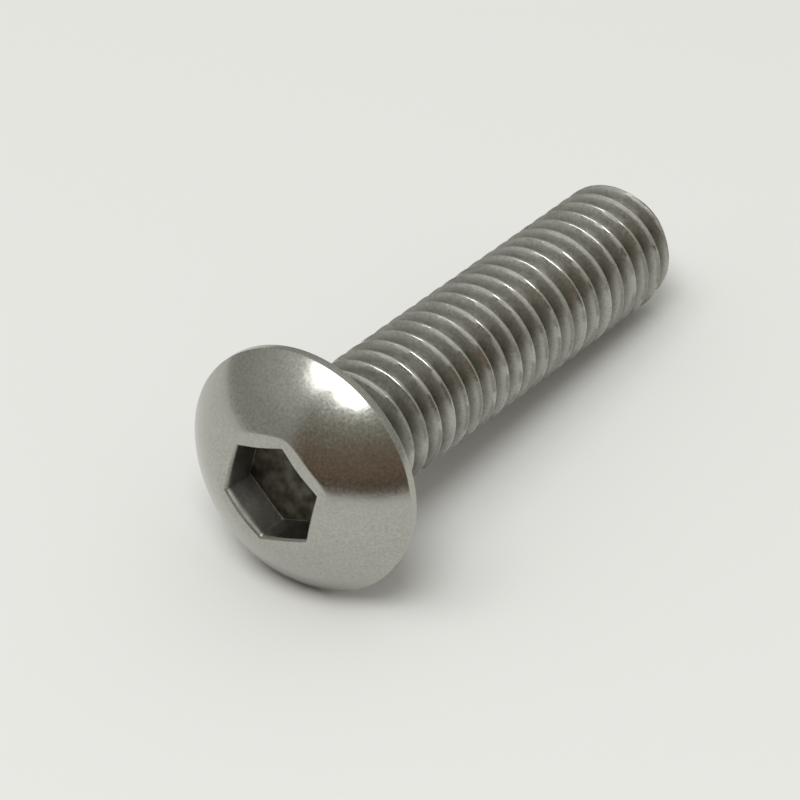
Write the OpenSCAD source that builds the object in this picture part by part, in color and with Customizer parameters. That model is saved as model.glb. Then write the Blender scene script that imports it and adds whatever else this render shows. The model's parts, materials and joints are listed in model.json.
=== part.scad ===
// Button head machine screw with a hexagon socket and a right-hand thread up to the head.
// It lies on its side on the surface z = 0, the thread's tip towards +X, touching that
// surface with the rim of its head and with the last full crest of its thread.
// The origin is on that surface, below the middle of the screw.

/* [Thread] */
// Diameter over the thread's crests
thread_d = 2.92; // [2.7:0.01:3.1]
// Distance from one crest to the next along the screw
pitch = 0.5; // [0.4:0.01:0.6]
// Length from the face under the head to the tip
length = 12; // [8:0.5:14]
// Length of the chamfer at the tip
tip_chamfer = 0.42; // [0.3:0.01:0.6]

/* [Head] */
// Diameter of the head
head_d = 5.44; // [5.2:0.01:5.8]
// Height of the head above the face that bears
head_h = 1.5; // [1.4:0.01:1.7]
// Height of the straight rim below the dome
rim_h = 0.18; // [0.14:0.01:0.25]
// How far outside the crests the flat face under the head starts
seat_margin = 0.03; // [0.02:0.01:0.1]

/* [Socket] */
// Width of the hexagon socket across its flats
socket_w = 2.04; // [1.9:0.01:2.1]
// Depth of the socket's flats below the top of the dome
socket_depth = 1.04; // [0.9:0.01:1.1]
// Depth of the land round the socket's mouth, below the dome at the socket's corners
mouth_sink = 0.06; // [0.04:0.005:0.08]
// Width of the broken edge between that land and the socket's walls
mouth_edge = 0.1; // [0.03:0.01:0.12]

/* [Place] */
// Turn of the socket's corners about the screw's axis
socket_turn = 10; // [0:1:59]
// Turn of the thread about the screw's axis
thread_turn = 237; // [0:1:359]

/* [Hidden] */

// Steps round a full turn: the lathed head, the dome's arc, small roundings and the thread
head_steps = 120;
dome_steps = 180;
edge_steps = 60;
turn_steps = 36;

head_r = head_d / 2;
crest_r = thread_d / 2;

// Form of the thread: 60 degree ridges, a narrow flat on each crest and a rounded root
ridge_h = pitch * sqrt(3) / 2;
crest_flat = pitch / 8;
root_width = pitch / 4;
root_edge_r = crest_r - ridge_h * 5 / 8;
root_r = crest_r - ridge_h * 17 / 24;

// Places along one pitch where the thread's profile bends, from the middle of a crest
bends = [-crest_flat / 2, crest_flat / 2,
         (pitch - root_width) / 2, pitch / 2, (pitch + root_width) / 2];
bend_r = [crest_r, crest_r, root_edge_r, root_r, root_edge_r];
bend_count = len(bends);

// The neck has the diameter of the wire that the thread is rolled on; lengths in turns of thread
neck_turns = 0.6;
runout_turns = 1.2;
neck_r = crest_r - ridge_h * 3 / 8;
neck_l = pitch * neck_turns;
runout_l = pitch * runout_turns;

// The neck stands a little proud of the thread's start and tapers down into it
neck_step = 0.03;
taper_l = 0.08;
sleeve_r = neck_r + neck_step;
thread_start = neck_l + taper_l;
fillet_r = crest_r + seat_margin - sleeve_r;

// The tip's flat end is a little smaller than the thread's root
tip_step = 0.01;
tip_r = root_r - tip_step;
chamfer_start = length - tip_chamfer;

// The thread starts inside the head, so that neck and head are one solid
inside_head = 0.25;
spare_turns = 3;
least_row = 0.01;
first_turn = floor(-inside_head / pitch) - spare_turns;
last_turn = ceil(length / pitch) + 1;
row_count = (last_turn - first_turn) * bend_count;

dome_h = head_h - rim_h;
dome_r = (dome_h * dome_h + head_r * head_r) / (2 * dome_h);
dome_z = dome_r - head_h;
edge_r = 0.05;
rim_edge_r = 0.06;
rim_edge_z = dome_z - sqrt(pow(dome_r - rim_edge_r, 2) - pow(head_r - rim_edge_r, 2));

// The socket's floor is a shallow point, and the land round its mouth falls slightly inwards
floor_slope = 0.25;
land_slope = 0.115;
point_r = 0.05;
overlap = 0.3;
socket_r = socket_w / sqrt(3);
socket_floor = socket_depth - head_h;
socket_point = socket_w / 2 * floor_slope;
land_z = dome_z - sqrt(dome_r * dome_r - socket_r * socket_r) + mouth_sink;

// Where the land meets the dome, outside the middle of a flat: a line and the dome's circle
land_base = dome_z - land_z - land_slope * socket_w / 2;
land_square = 1 + land_slope * land_slope;
land_r = (sqrt(dome_r * dome_r * land_square - land_base * land_base) - land_base * land_slope)
    / land_square;
land_edge_z = dome_z - sqrt(dome_r * dome_r - land_r * land_r);

// Where the resting screw touches: round the rim's lower edge, and on a crest's far edge
bottom_crest = pitch * thread_turn / 360 + crest_flat / 2;
rest_crest = bottom_crest + pitch * floor((chamfer_start - bottom_crest) / pitch);
rest_run = rest_crest + edge_r;
rest_fall = head_r - edge_r - crest_r;
lean = atan2(rest_fall, rest_run) + asin(edge_r / norm([rest_run, rest_fall]));
axis_height = crest_r * cos(lean) + rest_crest * sin(lean);
far_end = length * cos(lean) + tip_r * sin(lean);
near_end = land_edge_z * cos(lean) - land_r * sin(lean);
middle = (far_end + near_end) / 2;

// Height of a row of points on the thread at one step round the screw
function row_z(step, row) =
    pitch * (first_turn + floor(row / bend_count) + thread_turn / 360 + step / turn_steps)
    + bends[row % bend_count];

function before_start(z) = z < least_row - inside_head;
function past_tip(z) = z > length - least_row;

// Height moved to an end of the thread if it lies at that end or beyond it
function kept_z(z) = before_start(z) ? -inside_head : past_tip(z) ? length : z;

// Radius there: the profile, less where the thread runs out at the neck and at the chamfer
function row_r(row, z) =
    let (grown = max(0, min(1, (z - thread_start) / runout_l)),
         full = neck_r + (bend_r[row % bend_count] - neck_r) * grown,
         chamfer = crest_r - (crest_r - tip_r) * (z - chamfer_start) / tip_chamfer)
    min(full, chamfer);

first_rows = [for (s = [0 : turn_steps - 1])
    len([for (r = [0 : row_count - 1]) if (before_start(row_z(s, r))) 1]) - 1];
last_rows = [for (s = [0 : turn_steps - 1])
    len([for (r = [0 : row_count - 1]) if (!past_tip(row_z(s, r))) 1])];

// Number of a point; rows past either end are that end's ring, and a turn on is bend_count rows up
function point_at(step, row) =
    let (s = step % turn_steps, r = row + bend_count * floor(step / turn_steps))
    s * row_count + max(first_rows[s], min(last_rows[s], r));

function drop_empty(faces) =
    [for (f = faces) if (f[0] != f[1] && f[1] != f[2] && f[2] != f[0]) f];

module thread() {
    points = [for (s = [0 : turn_steps - 1], r = [0 : row_count - 1])
        let (z = kept_z(row_z(s, r)), radius = row_r(r, z), a = 360 * s / turn_steps)
        [radius * cos(a), radius * sin(a), z]];
    sides = drop_empty([for (s = [0 : turn_steps - 1], r = [0 : row_count - 2])
        let (a = point_at(s, r), b = point_at(s + 1, r),
             c = point_at(s + 1, r + 1), d = point_at(s, r + 1))
        each [[a, c, b], [a, d, c]]]);
    start_ring = [for (s = [0 : turn_steps - 1]) point_at(s, 0)];
    end_ring = [for (s = [turn_steps - 1 : -1 : 0]) point_at(s, row_count - 1)];
    polyhedron(points, concat(sides, [start_ring, end_ring]));
}

// Half section of the head and neck: the dome, the straight rim with rounded edges, and the
// hollow that leads into the neck
module head_section() {
    reach = 2 * head_r;
    dome_side = atan2(dome_z - rim_edge_z, head_r - rim_edge_r);
    intersection() {
        translate([0, dome_z]) circle(dome_r, $fn = dome_steps);
        polygon([[0, dome_z], [reach * cos(dome_side), dome_z - reach * sin(dome_side)],
                 [0, dome_z - reach]]);
        translate([0, -reach]) square([reach, reach - edge_r]);
    }
    translate([head_r - rim_edge_r, rim_edge_z]) circle(rim_edge_r, $fn = edge_steps);
    translate([0, rim_edge_z]) square([head_r, -rim_edge_z - edge_r]);
    translate([0, rim_edge_z]) square([head_r - edge_r, -rim_edge_z]);
    translate([head_r - edge_r, -edge_r]) circle(edge_r, $fn = edge_steps);
    translate([0, -edge_r]) square([sleeve_r, neck_l + edge_r]);
    polygon([[0, neck_l], [sleeve_r, neck_l], [sleeve_r - taper_l, thread_start], [0, thread_start]]);
    difference() {
        translate([0, -edge_r]) square([sleeve_r + fillet_r, fillet_r + edge_r]);
        translate([sleeve_r + fillet_r, fillet_r]) circle(fillet_r, $fn = edge_steps);
    }
}

// Six-sided cutter that narrows inwards to the socket's hexagon at z; its flats lie `spread`
// further out for each unit above that
module mouth_cutter(z, spread) {
    height = z + head_h + overlap;
    translate([0, 0, z - height])
        cylinder(h = height, r1 = socket_r + height * spread / cos(30), r2 = socket_r, $fn = 6);
}

// Hexagon socket: flat walls, a shallow pointed floor, a broken edge and a sunk land round it
module socket() {
    translate([0, 0, -head_h - overlap])
        cylinder(h = socket_floor + head_h + overlap, r = socket_r, $fn = 6);
    translate([0, 0, socket_floor - least_row])
        cylinder(h = socket_point, r1 = socket_w / 2, r2 = point_r, $fn = head_steps);
    mouth_cutter(land_z, 1 / land_slope);
    mouth_cutter(land_z + mouth_edge, 1);
}

module screw() {
    translate([-middle, 0, axis_height]) rotate([0, 90 + lean, 0])
        color("silver") difference() {
            union() {
                rotate_extrude($fn = head_steps) head_section();
                thread();
            }
            rotate([0, 0, socket_turn]) socket();
        }
}

screw();
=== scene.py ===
import json
import math

import bpy
import numpy as np
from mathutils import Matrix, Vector


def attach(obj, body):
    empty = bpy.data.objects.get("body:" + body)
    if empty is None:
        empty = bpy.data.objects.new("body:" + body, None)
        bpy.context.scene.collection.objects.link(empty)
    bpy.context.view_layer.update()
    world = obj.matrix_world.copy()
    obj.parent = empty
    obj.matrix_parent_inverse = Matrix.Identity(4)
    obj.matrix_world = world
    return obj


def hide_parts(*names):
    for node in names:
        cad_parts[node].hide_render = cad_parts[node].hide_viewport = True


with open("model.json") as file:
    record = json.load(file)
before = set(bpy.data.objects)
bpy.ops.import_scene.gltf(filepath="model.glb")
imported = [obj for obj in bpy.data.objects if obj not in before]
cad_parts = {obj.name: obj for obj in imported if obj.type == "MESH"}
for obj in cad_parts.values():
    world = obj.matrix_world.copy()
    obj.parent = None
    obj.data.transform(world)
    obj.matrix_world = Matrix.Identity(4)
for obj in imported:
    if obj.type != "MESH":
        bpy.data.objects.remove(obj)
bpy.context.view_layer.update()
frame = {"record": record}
mm = 0.001
print("frame loaded")

# The screw's own axes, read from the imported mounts: axial runs from the head to the tip,
# downAxis points down across it, where the turn about the axis is zero.
mounts = {m["name"]: m for m in frame["record"]["mounts"]}
threadMiddle = 6.0          # mm from the face under the head to the thread's mount
axial = np.array(mounts["thread"]["axis"])
axial = axial / np.linalg.norm(axial)
bearingCentre = np.array(mounts["thread"]["pos_m"]) - axial * threadMiddle * mm
sideAxis = np.array([0.0, 1.0, 0.0])
downAxis = np.cross(sideAxis, axial)


# Screw: one closed skin, millimetres and degrees, along the axis from the face under the head

screw = {
    "headRadius": 2.72,
    "headHeight": 1.50,
    "rimHeight": 0.20,
    "rimRounding": 0.035,
    "underRounding": 0.04,
    "domeUnevenness": 0.0066,
    "domeDents": [(1, 3, 4.1, 0.4), (0.7, 5, -6.3, 1.9), (0.5, 8, 9.7, 0.2)],   # the waves' parts

    "socketWidth": 2.0,
    "socketTurn": 10.0,
    "socketFloor": -0.46,       # where the floor meets the walls
    "socketPoint": 0.08,        # how much deeper the floor's middle is
    "pointReach": 0.94,         # share of the socket's half width that its shallow point takes up
    "floorRounding": 0.02,
    "socketSharpness": 150.0,   # of the hexagon's corners
    "mouthSink": 0.080,         # the land round the mouth lies this far below the dome's edge
    "landSlope": 0.08,          # and falls this much outwards, where the dome meets it
    "landSharpness": 14.0,      # its corners are rounder than the socket's
    "landWidth": 0.30,          # room for it
    "landSoftness": 0.012,      # rounding of the crease between dome and land
    "mouthRounding": (0.15, 0.09, 0.035, 0.03, 0.08, 0.09),     # of land into wall, flat by flat

    "neckRadius": 1.3276,
    "neckEnd": 0.38,
    "seatMargin": 0.03,         # the flat face under the head starts this far outside the crests
    "runout": 0.6,              # the thread grows to its full depth over this length
    "pitch": 0.5,
    "threadTurn": 237.0,
    "crestRadius": 1.46,
    "crestRounding": 0.046,
    "rootRounding": 0.072,
    "rootDepth": 17 / 24,       # of the height that a sharp ridge would have
    "crestUnevenness": 0.0036,
    "crestDents": [(1, 7.3, 0, 0.3), (0.8, 13.1, 0, 1.1), (0.6, 23.7, 0, 2.9), (0.4, 35.3, 0, 0.7)],
    "wearEnd": 0.075,           # how far from a crest's middle its wear ends
    "wearFade": 0.035,          # and over what length it fades

    "length": 12.0,
    "leastGap": 0.004,          # points of the thread that come this close to an end go to that end
    "tipStep": 0.01,            # the chamfer ends this far inside the thread's root
    "tipChamfer": 0.42,
    "tipSoftness": 0.008,       # rounding of the crease between chamfer and thread
    "tipRounding": 0.03,        # length of the tip's rounded edge
    "tipNarrowing": 0.021,      # and how much it takes off the radius
    "tipHollow": 0.012,         # how far the tip's end dips in its middle

    "rootShade": 0.74,          # how much painted shade darkens the thread's roots, where the socket's floor is 1
    "shadeDepths": (0.12, 0.80),        # shares of the thread's depth where that starts and is full
    "wallShade": (0.6, 0.5),    # how much painted shade darkens the socket's walls, at their foot and at their top
    # painted shade in the hollow round the neck
    "neckShade": 0.3,
    "faceShade": 0.2,           # painted shade under the head, where the face meets the neck's hollow
    "wallMatte": (1.6, 0.8, 0.5, 0.5, 0.35, 0.25),      # how matte the walls are, flat by flat
    "flankMatte": 0.22,
    "flankEdge": (0.02, 0.06),  # how far from a crest's middle that starts and is full
    "rootMatte": 0.28,          # on top of the flanks'

    "columns": 180,             # steps round the axis, a multiple of six
    "cornerCrowding": 0.6,      # how much the steps crowd together at the socket's corners
    "pointSteps": (0.08, 0.2, 0.35, 0.5, 0.65, 0.8, 0.9),       # shares of the half width
    "floorSteps": (0.35, 0.75, 0.96),   # shares of the way from there to the corner at the walls
    "cornerSteps": (18, 36, 54, 72),    # degrees, like lipSteps
    "wallSteps": 12,            # rows of points from end to end, like the whole numbers below
    "lipSteps": (8, 17, 26, 36, 46, 56, 66, 75, 83),
    "landSteps": 17,
    "domeSteps": 29,
    "rimSteps": 7,
    "underSteps": 6,
    "faceSteps": 9,
    "filletSteps": 7,
    "crestSteps": (0.35, 0.7, 1.0),     # shares of the crest's arc
    "flankSteps": (0.15, 0.24, 0.364, 0.412, 0.46),     # shares of a pitch, from the crest's middle
    "tipEdgeSteps": 5,
    "tipSteps": (0.85, 0.65, 0.4, 0.15),        # shares of the radius
}
ridgeHeight = screw["pitch"] * math.sqrt(3) / 2
flankSine = math.sin(math.pi / 3)       # the share of its radius at which an arc meets a flank
rootRadius = screw["crestRadius"] - ridgeHeight * screw["rootDepth"]
fillet = screw["crestRadius"] + screw["seatMargin"] - screw["neckRadius"]
threadStart = fillet
threadEnd = screw["length"] - screw["tipRounding"]

domeHeight = screw["headHeight"] - screw["rimHeight"]
domeRadius = (domeHeight**2 + screw["headRadius"]**2) / (2 * domeHeight)
domeCentre = domeRadius - screw["headHeight"]
rimCentre = screw["headRadius"] - screw["rimRounding"]
rimAlong = domeCentre - math.sqrt((domeRadius - screw["rimRounding"])**2 - rimCentre**2)
rimLean = math.atan2(domeCentre - rimAlong, rimCentre)      # where the rim's rounding meets the dome


def placed(radius, turn, along):
    # point = bearing centre + radius * (cos turn, sin turn) across the axis + along * axial
    down = (radius * np.cos(turn))[..., None] * downAxis
    across = (radius * np.sin(turn))[..., None] * sideAxis
    return bearingCentre + mm * (down + across + along[..., None] * axial)


def waves(turn, along, parts):
    # sum of height * sin(count * turn + rate * along + shift), divided by the heights' sum, where
    # each part is (height, count, rate, shift): a small unevenness, alike in each run
    total = np.zeros(np.broadcast(turn, along).shape)
    for height, count, rate, shift in parts:
        total = total + height * np.sin(count * turn + rate * along + shift)
    return total / sum(part[0] for part in parts)


def smooth(t):
    # 3 t^2 - 2 t^3 between 0 and 1
    t = np.clip(t, 0, 1)
    return t * t * (3 - 2 * t)


def turnSteps():
    # turn = corner + 60 degrees * (t - crowding * sin(2 pi t) / (2 pi)), t from 0 to 1 in each sector
    perSector = screw["columns"] // 6
    t = np.arange(perSector) / perSector
    bent = t - screw["cornerCrowding"] * np.sin(2 * np.pi * t) / (2 * np.pi)
    sector = np.arange(6)[:, None]
    return np.radians(screw["socketTurn"]) + np.pi / 3 * (sector + bent[None, :]).ravel()


def hexagonReach(turn, sharpness):
    # (sum over the six flats of max(0, cos(turn - flat))^p)^(1/p): 1 across a flat, less at a corner
    facing = np.clip(np.cos(turn[..., None] - np.radians(flatTurns)), 0, None)
    return (facing**sharpness).sum(-1) ** (1 / sharpness)


def flatByFlat(values):
    # each flat's own value at its middle, and even steps from there to the next flat's
    return np.interp(np.degrees(turns), flatTurns, values, period=360)


turns = turnSteps()
columns = len(turns)
column = np.arange(columns)
following = (column + 1) % columns
flatTurns = screw["socketTurn"] + 30 + 60 * np.arange(6)
socketReach = hexagonReach(turns, screw["socketSharpness"])
wallRadius = screw["socketWidth"] / 2 / socketReach
landRadius = screw["socketWidth"] / 2 / hexagonReach(turns, screw["landSharpness"])
landAlong = domeCentre - np.sqrt(domeRadius**2 - landRadius**2) + screw["mouthSink"]
lip = flatByFlat(screw["mouthRounding"])


def ring(radius, along, recessShade=0, matte=0):
    # a closed row of points: each value is one number, or one for each column; the painted
    # shade in recesses and the matte are 0 on the dome and 1 on the socket's floor
    return [np.broadcast_to(value, columns) for value in (radius, along, recessShade, matte)]


def domeSurface(radius):
    # the deeper of dome centre - sqrt(R^2 - r^2) and the land round the socket,
    # (a + b + sqrt((a - b)^2 + s^2)) / 2, so the crease between them is rounded
    dome = domeCentre - np.sqrt(domeRadius**2 - radius**2)
    land = landAlong + screw["landSlope"] * (radius - landRadius)
    return (dome + land + np.sqrt((dome - land)**2 + screw["landSoftness"]**2)) / 2


def socketRows():
    # the floor's shallow point, along = floor + point * (1 - share), a flat edge round it, an arc
    # into the walls, corner * (sin a, cos a), the walls in even steps and an arc onto the land
    half, bottom, corner = screw["socketWidth"] / 2, screw["socketFloor"], screw["floorRounding"]
    # painted shade: full on the floor, fading from the walls' foot to their top and out over the lip
    foot, top = screw["wallShade"]
    wall = flatByFlat(screw["wallMatte"])
    rows = []
    for share in screw["pointSteps"]:
        rows.append(ring(half * share, bottom + screw["socketPoint"] * (1 - share), 1, 1))
    pointEnd = half * screw["pointReach"]
    for share in screw["floorSteps"]:
        rows.append(ring(pointEnd + (wallRadius - corner - pointEnd) * share, bottom, 1, 1))
    for a in np.radians(screw["cornerSteps"]):
        rows.append(ring(wallRadius - corner * (1 - np.sin(a)), bottom - corner * (1 - np.cos(a)),
                         1 + (foot - 1) * np.sin(a), 1 + (wall - 1) * np.sin(a)))
    low = bottom - corner
    high = domeSurface(wallRadius + lip) + lip
    for share in np.linspace(0, 1, screw["wallSteps"]):
        rows.append(ring(wallRadius, low + (high - low) * share, foot + (top - foot) * share, wall))
    for a in np.radians(screw["lipSteps"]):
        rows.append(ring(wallRadius + lip * (1 - np.cos(a)), high - lip * np.sin(a),
                         top * np.sqrt(np.cos(a)), wall * np.cos(a)))
    return rows


def domeRows():
    # along = dome surface at each radius: even steps out from the mouth over the land, then
    # inner edge * (1 - share) + rim's edge * share, with dents that fade at both ends
    rows = []
    mouth = wallRadius + lip
    for step in np.linspace(0, screw["landWidth"], screw["landSteps"]):
        radius = mouth + step / socketReach
        rows.append(ring(radius, domeSurface(radius)))
    inner = mouth + screw["landWidth"] / socketReach
    outer = rimCentre + screw["rimRounding"] * math.cos(rimLean)
    for share in np.linspace(0, 1, screw["domeSteps"])[1:]:
        radius = inner * (1 - share) + outer * share
        fade = screw["domeUnevenness"] * math.sin(math.pi * share)
        rows.append(ring(radius, domeSurface(radius) + fade * waves(turns, radius, screw["domeDents"])))
    return rows


def rimRows():
    # two arcs with the straight rim between them: centre + rounding * (cos a, -sin a) above
    # it and centre + rounding * (cos a, sin a) below
    rounding, under = screw["rimRounding"], screw["underRounding"]
    rows = []
    for a in np.linspace(rimLean, 0, screw["rimSteps"])[1:]:
        rows.append(ring(rimCentre + rounding * math.cos(a), rimAlong - rounding * math.sin(a)))
    for a in np.linspace(0, math.pi / 2, screw["underSteps"]):
        rows.append(ring(screw["headRadius"] - under + under * math.cos(a), under * (math.sin(a) - 1)))
    return rows


def neckRows():
    # the face under the head in even steps, then the arc that leads into the neck:
    # radius = neck + fillet * (1 - sin a), along = fillet * (1 - cos a)
    neck, shade = screw["neckRadius"], screw["faceShade"]
    outer, inner = screw["headRadius"] - screw["underRounding"], neck + fillet
    rows = []
    # painted shade, and matte, under the head grow towards the neck, and the neck's hollow is shaded
    # evenly
    for share in np.linspace(0, 1, screw["faceSteps"])[1:]:
        rows.append(ring(outer + (inner - outer) * share, 0, shade * share, shade * share))
    for a in np.linspace(0, math.pi / 2, screw["filletSteps"])[1:]:
        rows.append(ring(inner - fillet * math.sin(a), fillet * (1 - math.cos(a)),
                         screw["neckShade"], shade))
    return rows


def threadRadius(along, away):
    # away is the distance along the axis to the nearest crest's middle: an arc of radius c on the
    # crest, flanks at crest + c - sqrt(3) * away and an arc in the root, grown out of the neck
    # over the run-out and held inside the tip's chamfer, with a rounded crease where they meet
    crest, c, r = screw["crestRadius"], screw["crestRounding"], screw["rootRounding"]
    arcEnd = c * flankSine
    arc = crest - c + np.sqrt(c**2 - np.clip(away, 0, arcEnd)**2)
    profile = np.where(away < arcEnd, arc, crest + c - math.sqrt(3) * away)
    fromRoot = screw["pitch"] / 2 - away
    rootEnd = r * flankSine
    root = rootRadius + r - np.sqrt(r**2 - np.clip(fromRoot, 0, rootEnd)**2)
    profile = np.where(fromRoot < rootEnd, root, profile)
    started = smooth((along - screw["neckEnd"]) / screw["runout"])
    grown = screw["neckRadius"] + (profile - screw["neckRadius"]) * started
    fall = (crest - rootRadius + screw["tipStep"]) / screw["tipChamfer"]
    chamfer = crest - fall * (along - screw["length"] + screw["tipChamfer"])
    gap = chamfer - grown
    return grown + (gap - np.sqrt(gap**2 + screw["tipSoftness"]**2)) / 2


def threadSteps():
    # places of the thread's rows along one pitch, from one crest to the next: on the crest's
    # arc, down the flank, in the root, and the same back up
    pitch = screw["pitch"]
    arc = screw["crestRounding"] * flankSine * np.array(screw["crestSteps"])
    half = np.concatenate([arc, pitch * np.array(screw["flankSteps"])])
    return np.concatenate([[0.0], half, [pitch / 2], pitch - half[::-1]])


def threadGrid(steps):
    # along = pitch * (whole turns + thread turn / 360 + turn / (2 pi)) + step, so each row climbs
    # one pitch a turn, held between the ends; radius = thread radius - wear * (1 + waves)
    pitch = screw["pitch"]
    wholeTurns = np.arange(-2, math.ceil(screw["length"] / pitch) + 2)      # two spare at each end
    rise = (wholeTurns[:, None] * pitch + steps[None, :]).reshape(-1, 1)
    rise = rise + pitch * screw["threadTurn"] / 360
    away = np.tile(np.minimum(steps, pitch - steps), len(wholeTurns))[:, None]
    free = rise + pitch * turns / (2 * np.pi)
    before = free < threadStart + screw["leastGap"]
    past = free > threadEnd - screw["leastGap"]
    along = np.where(before, threadStart, np.where(past, threadEnd, free))

    wear = smooth((screw["wearEnd"] - away) / screw["wearFade"])
    dents = waves(turns + 2 * np.pi * rise / pitch, along, screw["crestDents"])
    worn = screw["crestUnevenness"] * wear * (1 + dents)
    radius = threadRadius(along, away) - np.where(before | past, 0, worn)

    # painted shade darkens the thread ever more from part way down the flanks into the roots; the same
    # share makes the roots more matte
    low, high = screw["shadeDepths"]
    depth = (screw["crestRadius"] - radius) / (screw["crestRadius"] - rootRadius)
    paintedShadeShare = np.clip((depth - low) / (high - low), 0, 1)
    edge, full = screw["flankEdge"]
    matte = screw["flankMatte"] * smooth((away - edge) / (full - edge)) + screw["rootMatte"] * paintedShadeShare
    rows = np.stack([radius, along, screw["rootShade"] * paintedShadeShare, matte], 1)
    return rows, np.broadcast_to(wear, along.shape), before, past


def tipRows():
    # a rounded edge, threadEnd + rounding * sin a, then the end, which dips evenly to its middle
    outer = threadRadius(threadEnd, screw["pitch"] / 2)
    rows = [ring(outer, threadEnd)]
    for a in np.linspace(0, math.pi / 2, screw["tipEdgeSteps"])[1:]:
        rows.append(ring(outer - screw["tipNarrowing"] * (1 - math.cos(a)),
                         threadEnd + screw["tipRounding"] * math.sin(a)))
    for share in screw["tipSteps"]:
        rows.append(ring(outer * share, screw["length"] - screw["tipHollow"] * (1 - share)))
    return rows


def lathe(base, count):
    # quads between each ring and the next, round the axis
    row = base + np.arange(count - 1)[:, None] * columns
    quads = [row + column, row + following, row + columns + following, row + columns + column]
    return np.stack(quads, -1).reshape(-1, 4)


def threadFaces(base, headRing, tipRing, perTurn, before, past):
    # triangles between neighbouring rows: points before the start are the head's last ring,
    # points past the end are the tip's first, and one turn on is perTurn rows up
    firstRow, lastRow = before.sum(0) - 1, (~past).sum(0)

    def point(row, col):
        number = np.where(row <= firstRow[col], headRing + col, base + row * columns + col)
        return np.where(row >= lastRow[col], tipRing + col, number)

    row = np.arange(len(before) - perTurn - 1)[:, None]
    ahead = row + np.where(column == columns - 1, perTurn, 0)
    corners = np.broadcast_arrays(point(row, column), point(ahead, following),
                                  point(ahead + 1, following), point(row + 1, column))
    corners = np.stack(corners, -1).reshape(-1, 4)
    triangles = np.concatenate([corners[:, [0, 1, 2]], corners[:, [0, 2, 3]]])
    a, b, c = triangles.T
    return triangles[(a != b) & (b != c) & (c != a)]


def addObject(name, data):
    made = bpy.data.objects.new(name, data)
    bpy.context.scene.collection.objects.link(made)
    return made


def buildScrew():
    # the head's rings, the thread's rows, the tip's rings and the middles of both ends, each
    # point placed from its radius, turn and along
    head = np.array(socketRows() + domeRows() + rimRows() + neckRows())
    steps = threadSteps()
    thread, wear, before, past = threadGrid(steps)
    tip = np.array(tipRows())
    rows = np.concatenate([head, thread, tip]).transpose(1, 0, 2).reshape(4, -1)
    middles = [(0, 0), (screw["socketFloor"] + screw["socketPoint"], screw["length"] - screw["tipHollow"]),
               (1, 0), (1, 0)]
    radius, along, recessShade, matte = np.concatenate([rows, middles], 1)
    turn = np.resize(turns, len(radius))
    points = placed(radius, turn, along)

    threadBase = len(head) * columns
    tipBase = threadBase + len(thread) * columns
    floorMiddle, tipMiddle = len(points) - 2, len(points) - 1
    crest = np.zeros(len(points))
    crest[threadBase:tipBase] = wear.ravel()

    lastRing = floorMiddle - columns
    floorFan = np.stack([np.full(columns, floorMiddle), following, column], -1)
    tipFan = np.stack([lastRing + column, lastRing + following, np.full(columns, tipMiddle)], -1)
    winding = threadFaces(threadBase, threadBase - columns, tipBase, len(steps), before, past)
    quads = np.concatenate([lathe(0, len(head)), lathe(tipBase, len(tip))])
    triangles = np.concatenate([winding, floorFan, tipFan])

    used = np.unique(np.concatenate([quads.ravel(), triangles.ravel()]))
    renumber = np.zeros(len(points), np.int64)
    renumber[used] = np.arange(len(used))
    mesh = bpy.data.meshes.new("screwSkin")
    mesh.from_pydata(points[used].tolist(), [], renumber[quads].tolist() + renumber[triangles].tolist())
    mesh.polygons.foreach_set("use_smooth", np.ones(len(mesh.polygons), bool))
    for name, values in (("recessShade", recessShade), ("matte", matte), ("crest", crest)):
        attribute = mesh.attributes.new(name, "FLOAT", "POINT")
        attribute.data.foreach_set("value", values[used].astype(np.float32))
    mesh.update()
    return addObject("screwSkin", mesh)


screwSkin = buildScrew()
print("screw built:", len(screwSkin.data.polygons), "faces")


# Materials

def link(tree, start, startSocket, end, endSocket):
    tree.links.new(start.outputs[startSocket], end.inputs[endSocket])


def newNode(tree, kind, **settings):
    # a setting is the value of the input of that name, or else a property of the node
    node = tree.nodes.new(kind)
    for name, value in settings.items():
        if name in node.inputs:
            node.inputs[name].default_value = value
        else:
            setattr(node, name, value)
    return node


def noise(tree, coords, look):
    scale, detail, roughness = look
    node = newNode(tree, "ShaderNodeTexNoise", Scale=scale, Detail=detail, Roughness=roughness)
    link(tree, coords, "Object", node, "Vector")
    return node


def multiplyAdd(tree, start, socket, factor, added=0.0):
    # value * factor + added, where another node's value may replace the last
    node = newNode(tree, "ShaderNodeMath", operation="MULTIPLY_ADD")
    node.inputs[1].default_value = factor
    node.inputs[2].default_value = added
    link(tree, start, socket, node, 0)
    return node


def span(tree, start, socket, low, high, first=0.0, last=1.0, kind="LINEAR"):
    # first up to low, last from high on, and a straight or smooth rise between them
    node = newNode(tree, "ShaderNodeMapRange", interpolation_type=kind)
    for name, value in (("From Min", low), ("From Max", high), ("To Min", first), ("To Max", last)):
        node.inputs[name].default_value = value
    link(tree, start, socket, node, "Value")
    return node


firstColour, secondColour, mixedColour = 6, 7, 2        # a Mix node's sockets for colours


def mixColours(tree, start, socket):
    # first colour * (1 - value) + second colour * value
    node = newNode(tree, "ShaderNodeMix", data_type="RGBA")
    link(tree, start, socket, node, "Factor")
    return node


def ramp(tree, stops):
    # a colour ramp with the given (place, colour) stops
    node = tree.nodes.new("ShaderNodeValToRGB")
    elements = node.color_ramp.elements
    while len(elements) < len(stops):
        elements.new(0.5)
    for element, (place, colour) in zip(elements, stops):
        element.position = place
        element.color = (*colour, 1)
    return node


def newMaterial(name):
    material = bpy.data.materials.new(name)
    material.use_nodes = True
    return material, material.node_tree, material.node_tree.nodes["Principled BSDF"]


def plainMaterial(name, look):
    material, _, shader = newMaterial(name)
    shader.inputs["Base Color"].default_value = (*look["colour"], 1)
    shader.inputs["Roughness"].default_value = look["roughness"]
    shader.inputs["Specular IOR Level"].default_value = look["specular"]
    return material


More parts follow.
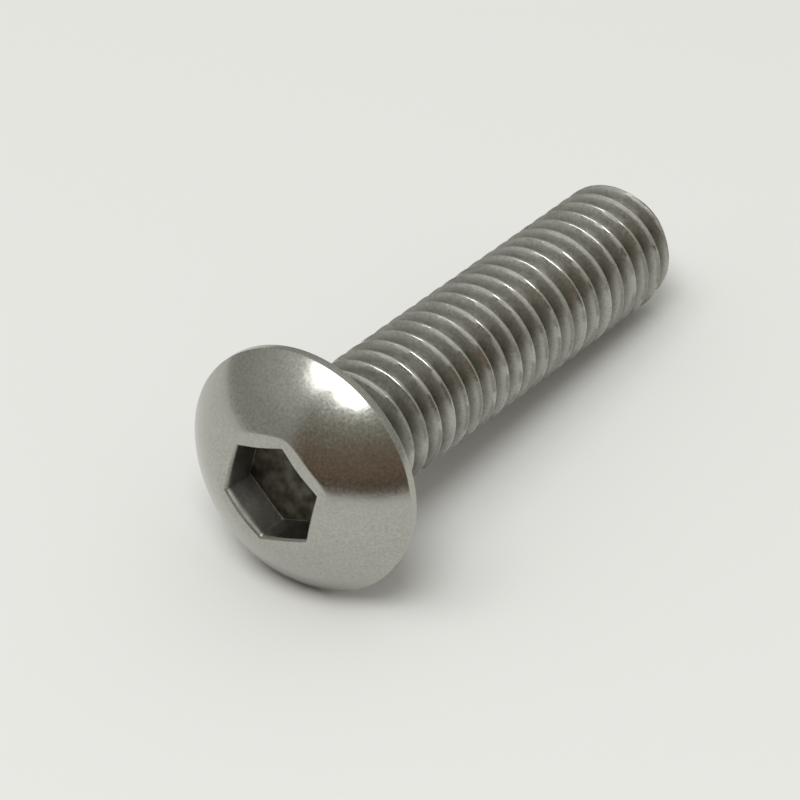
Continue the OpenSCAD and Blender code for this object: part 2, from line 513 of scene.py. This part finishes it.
steel = {
    "colour": (0.425, 0.422, 0.388),
    "recessStops": [(0.35, (0.06, 0.054, 0.041)), (0.65, (0.16, 0.148, 0.118))],    # the painted shade's dark, blotched tones, by dents' noise
    "recessSpan": (0.15, 0.85), # values of the painted shade where those colours start and are full
    "blotchShare": 0.05,        # how much blotches and grain lighten and darken the colour
    "grainShare": 0.34,
    "crestDulling": 0.1,        # how much darker the crests are where they are rubbed

    "grainSpan": (0.3, 0.7),    # values of the grain that give the least and the most roughness
    "roughness": (0.17, 0.25),
    "matteRoughness": 0.34,     # added in the socket, and in part between the crests
    "crestRoughness": 0.42,     # added where the crests are rubbed
    "rubbedSpan": (0.42, 0.50), # values of the patches between which a crest is ever more rubbed

    "blotchNoise": (700.0, 4.0, 0.6),   # scale per metre, detail and roughness
    "grainNoise": (17000.0, 3.0, 0.6),
    "dentNoise": (3500.0, 2.0, 0.5),
    "patchNoise": (1500.0, 1.0, 0.5),
    "grainDepth": 0.0000002,    # metres
    "dentDepth": 0.0000025,
}


def steelMaterial():
    # bare cold-formed stainless steel: satin grain, faint blotches, rougher in recesses and
    # darkened there by painted shade, and rubbed in patches on the crests
    material, tree, shader = newMaterial("stainlessSteel")
    shader.inputs["Metallic"].default_value = 1.0
    coords = newNode(tree, "ShaderNodeTexCoord")
    blotch, grain, dents, patches = (noise(tree, coords, steel[name])
                                     for name in ("blotchNoise", "grainNoise", "dentNoise", "patchNoise"))
    recessShade, matte, crest = (newNode(tree, "ShaderNodeAttribute", attribute_name=name)
                            for name in ("recessShade", "matte", "crest"))
    rubbed = span(tree, patches, "Fac", *steel["rubbedSpan"])
    worn = newNode(tree, "ShaderNodeMath", operation="MULTIPLY")
    link(tree, crest, "Fac", worn, 0)
    link(tree, rubbed, "Result", worn, 1)

    # colour = bare colour or the painted shade's dark tones * (1 + 2 * blotch share * (blotch - 0.5)
    # + 2 * grain share * (grain - 0.5) - crest dulling * worn)
    plain = 1 - steel["blotchShare"] - steel["grainShare"]
    blotched = multiplyAdd(tree, blotch, "Fac", steel["blotchShare"] * 2, plain)
    grained = multiplyAdd(tree, grain, "Fac", steel["grainShare"] * 2)
    link(tree, blotched, "Value", grained, 2)
    shade = multiplyAdd(tree, worn, "Value", -steel["crestDulling"])
    link(tree, grained, "Value", shade, 2)
    # painted shade: dark, blotched tones mixed in ever more as the recess shade rises
    tones = ramp(tree, steel["recessStops"])
    link(tree, dents, "Fac", tones, "Fac")
    paintedShadeShare = span(tree, recessShade, "Fac", *steel["recessSpan"])
    colour = mixColours(tree, paintedShadeShare, "Result")
    colour.inputs[firstColour].default_value = (*steel["colour"], 1)
    link(tree, tones, "Color", colour, secondColour)
    shaded = newNode(tree, "ShaderNodeVectorMath", operation="SCALE")
    link(tree, colour, mixedColour, shaded, 0)
    link(tree, shade, "Value", shaded, "Scale")
    link(tree, shaded, "Vector", shader, "Base Color")

    # roughness = the grain's + matte roughness * matte + crest roughness * worn
    fine = span(tree, grain, "Fac", *steel["grainSpan"], *steel["roughness"])
    rougher = multiplyAdd(tree, matte, "Fac", steel["matteRoughness"])
    link(tree, fine, "Result", rougher, 2)
    roughest = multiplyAdd(tree, worn, "Value", steel["crestRoughness"])
    link(tree, rougher, "Value", roughest, 2)
    link(tree, roughest, "Value", shader, "Roughness")

    dentBump = newNode(tree, "ShaderNodeBump", Distance=steel["dentDepth"])
    link(tree, dents, "Fac", dentBump, "Height")
    grainBump = newNode(tree, "ShaderNodeBump", Distance=steel["grainDepth"])
    link(tree, grain, "Fac", grainBump, "Height")
    link(tree, dentBump, "Normal", grainBump, "Normal")
    link(tree, grainBump, "Normal", shader, "Normal")
    return material


screwSkin.data.materials.append(steelMaterial())
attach(screwSkin, "root")
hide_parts("screw")
print("steel ready")


# Floor, room and lamps

def direction(azimuth, elevation):
    # (cos e * cos a, cos e * sin a, sin e)
    a, e = math.radians(azimuth), math.radians(elevation)
    return Vector((math.cos(e) * math.cos(a), math.cos(e) * math.sin(a), math.sin(e)))


floor = {
    "size": 3.0,                # metres
    "colour": (0.76, 0.76, 0.747),
    "roughness": 0.9,
    "specular": 0.1,
}


def makeFloor():
    # one square at the height that the screw lies on
    half = floor["size"] / 2
    corners = [(-half, -half, 0), (half, -half, 0), (half, half, 0), (-half, half, 0)]
    mesh = bpy.data.meshes.new("floor")
    mesh.from_pydata(corners, [], [(0, 1, 2, 3)])
    mesh.materials.append(plainMaterial("paleFloor", floor))
    sheet = addObject("floor", mesh)


room = {
    "wall": [(0.0, (0.36, 0.36, 0.335)), (0.28, (0.40, 0.40, 0.37)), (0.59, (0.53, 0.53, 0.50)),
             (0.74, (0.67, 0.67, 0.64)), (1.0, (0.75, 0.75, 0.73))],
    "dim": [(0.0, (0.18, 0.118, 0.083)), (0.34, (0.215, 0.165, 0.122)), (0.47, (0.235, 0.212, 0.172)),
            (0.59, (0.29, 0.275, 0.23)), (0.72, (0.42, 0.42, 0.38)), (1.0, (0.7, 0.7, 0.66))],
    "dimAzimuth": 210.0,        # the side where the camera stands is dim
    "dimHalfWidth": 45.0,
    "dimEdge": 6.0,             # half the width of its soft edge
}


def makeRoom():
    # pale walls that brighten upwards, with a dim brownish part behind the camera; both ramps
    # run over the sine of the elevation, and the dim part fades out as the cosine of the angle
    # from its middle falls
    world = bpy.data.worlds.new("room")
    bpy.context.scene.world = world
    world.use_nodes = True
    tree = world.node_tree
    coords = newNode(tree, "ShaderNodeTexCoord")
    height = newNode(tree, "ShaderNodeSeparateXYZ")
    link(tree, coords, "Generated", height, "Vector")
    wall, dim = ramp(tree, room["wall"]), ramp(tree, room["dim"])
    link(tree, height, "Z", wall, "Fac")
    link(tree, height, "Z", dim, "Fac")

    level = newNode(tree, "ShaderNodeVectorMath", operation="MULTIPLY")
    level.inputs[1].default_value = (1, 1, 0)
    heading = newNode(tree, "ShaderNodeVectorMath", operation="NORMALIZE")
    towards = newNode(tree, "ShaderNodeVectorMath", operation="DOT_PRODUCT")
    towards.inputs[1].default_value = direction(room["dimAzimuth"], 0)
    link(tree, coords, "Generated", level, 0)
    link(tree, level, "Vector", heading, 0)
    link(tree, heading, "Vector", towards, 0)
    outside = math.cos(math.radians(room["dimHalfWidth"] + room["dimEdge"]))
    inside = math.cos(math.radians(room["dimHalfWidth"] - room["dimEdge"]))
    side = span(tree, towards, "Value", outside, inside, kind="SMOOTHSTEP")

    mixed = mixColours(tree, side, "Result")
    link(tree, wall, "Color", mixed, firstColour)
    link(tree, dim, "Color", mixed, secondColour)
    link(tree, mixed, mixedColour, tree.nodes["Background"], "Color")


card = {
    "centre": (-5.5, 0.0),      # below the head, in mm like the next two
    "radius": 20.0,
    "height": 3.8,
    "arcSteps": 25,
    "colour": (0.15, 0.095, 0.062),
    "roughness": 1.0,
    "specular": 0.0,
}


def makeCard():
    # a low dark card round the head on the camera's side, out of the picture: point =
    # centre + radius * (cos a, sin a), from the floor up to its height
    a = np.radians(room["dimAzimuth"] + np.linspace(-1, 1, card["arcSteps"]) * room["dimHalfWidth"])
    arc = np.stack([np.cos(a), np.sin(a)], -1) * card["radius"] + np.array(card["centre"])
    low = np.concatenate([arc, np.zeros((len(a), 1))], 1)
    high = np.concatenate([arc, np.full((len(a), 1), card["height"])], 1)
    i = np.arange(len(a) - 1)
    faces = np.stack([i, i + 1, i + 1 + len(a), i + len(a)], -1)
    mesh = bpy.data.meshes.new("card")
    mesh.from_pydata((np.concatenate([low, high]) * mm).tolist(), [], faces.tolist())
    mesh.materials.append(plainMaterial("darkCard", card))
    strip = addObject("card", mesh)
    strip.visible_camera = False
    strip.visible_diffuse = False       # only the metal sees it, so it leaves no line on the floor
    strip.visible_shadow = False


lamps = {
    "places": [(153.0, 65.0, 3.4), (203.0, 63.5, 8.4)],     # azimuth, elevation and radiance
    "distance": 0.30,           # metres
    "width": 0.133,
}


def makeLamps():
    # round softboxes above the head's side of the screw; power = radiance * pi * area
    area = math.pi * (lamps["width"] / 2)**2
    for number, (azimuth, elevation, radiance) in enumerate(lamps["places"]):
        data = bpy.data.lights.new(f"softbox{number + 1}", "AREA")
        data.shape = "DISK"
        data.size = lamps["width"]
        data.energy = radiance * math.pi * area
        lamp = addObject(data.name, data)
        away = direction(azimuth, elevation)
        lamp.location = away * lamps["distance"]
        lamp.rotation_euler = away.to_track_quat("Z", "Y").to_euler()


makeFloor()
makeRoom()
makeCard()
makeLamps()
print("floor, room and lamps ready")


# Camera

view = {
    "aim": (-2.077, 0.0, 2.33),     # mm
    "azimuth": 215.26,
    "elevation": 38.16,
    "distance": 83.0,           # mm
    "focalPixels": 3984.0,
    "imagePixels": 800.0,
    "sensorWidth": 36.0,
    "clip": (0.001, 20.0),      # metres
}


def makeCamera():
    # place = aim + distance * direction, looking back at the aim
    data = bpy.data.cameras.new("camera")
    data.sensor_width = view["sensorWidth"]
    data.lens = view["focalPixels"] / view["imagePixels"] * view["sensorWidth"]
    data.clip_start, data.clip_end = view["clip"]
    camera = addObject("camera", data)
    away = direction(view["azimuth"], view["elevation"])
    camera.location = Vector(view["aim"]) * mm + away * view["distance"] * mm
    camera.rotation_euler = away.to_track_quat("Z", "Y").to_euler()
    bpy.context.scene.camera = camera


makeCamera()
bpy.context.scene.view_settings.view_transform = "Standard"
print("camera ready")
